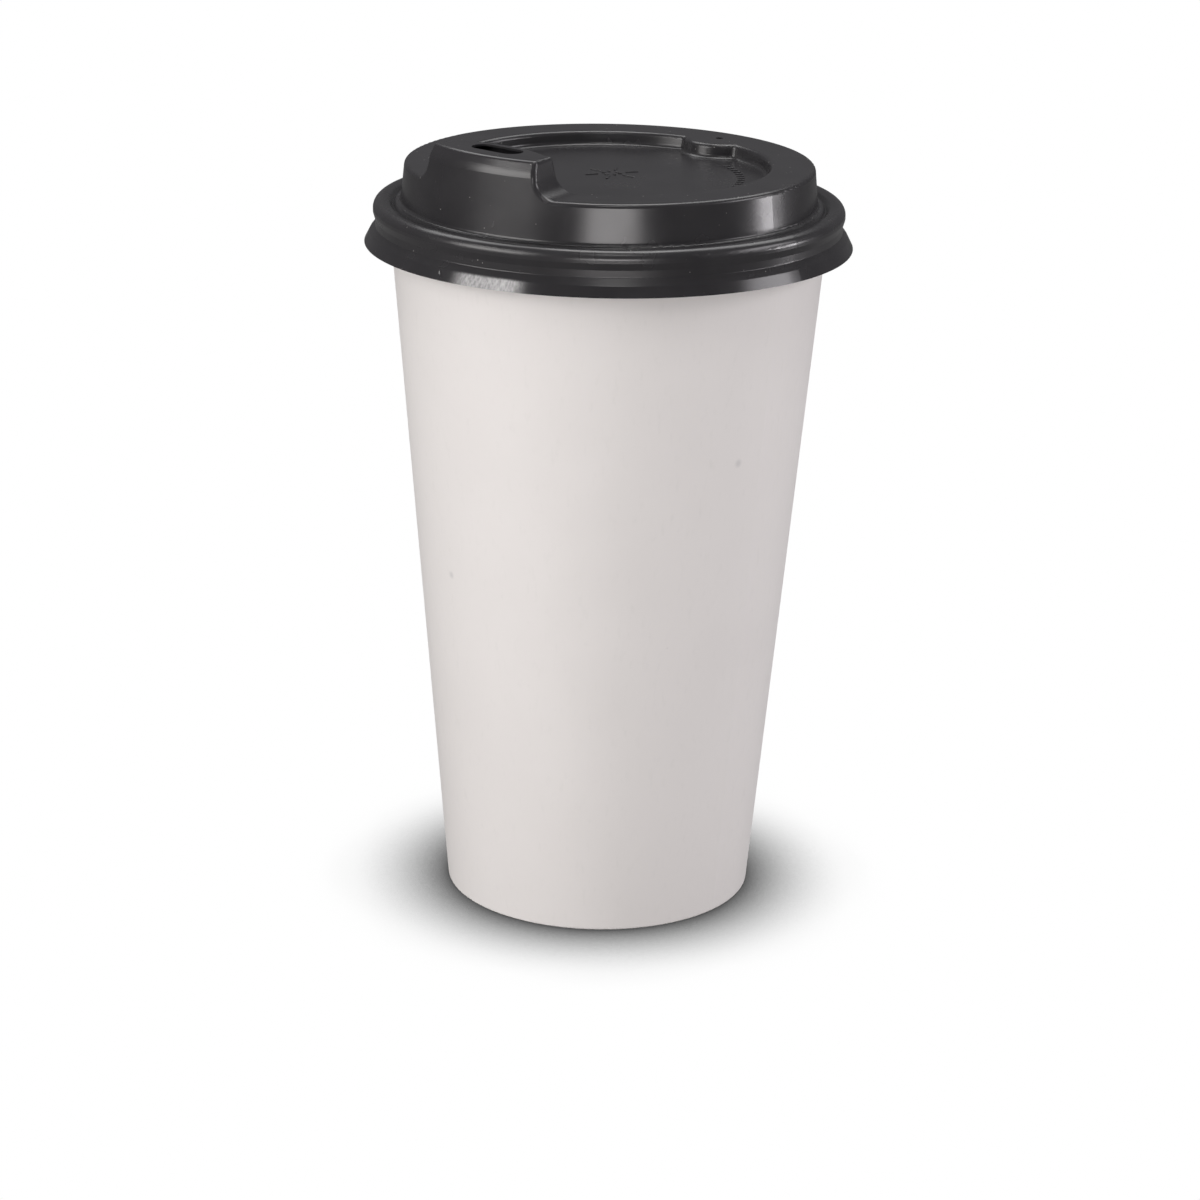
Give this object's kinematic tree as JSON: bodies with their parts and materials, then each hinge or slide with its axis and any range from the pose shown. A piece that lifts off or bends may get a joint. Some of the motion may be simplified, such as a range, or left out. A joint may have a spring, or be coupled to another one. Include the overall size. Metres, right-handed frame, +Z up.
{
  "type": "paper coffee cup with sip lid",
  "caption": "Tapered paper takeaway cup with a rolled rim and gripped bottom disc, closed by a black press-on plastic sip lid that lifts off.",
  "frame": {"origin": "centre of the cup's foot, on the surface that it stands on", "axes": "+Z up along the cup's centre line; the lid's mouthpiece faces -Y; the side seam and the vent hole are at +Y"},
  "size_m": [0.0944, 0.0944, 0.1541],
  "materials": {
    "cup_board": "coated matt white board",
    "lid_plastic": "satin black thermoformed sheet"
  },
  "bodies": {
    "cup": {"cup_sidewall": "cup_board", "cup_bottom": "cup_board"},
    "lid": {"sip_lid": "lid_plastic"}
  },
  "joints": [
    {"name": "lid_lift", "type": "slide", "parent": "cup", "child": "lid", "axis": [0, 0, 1], "range_m": [0, 0.06]}
  ]
}
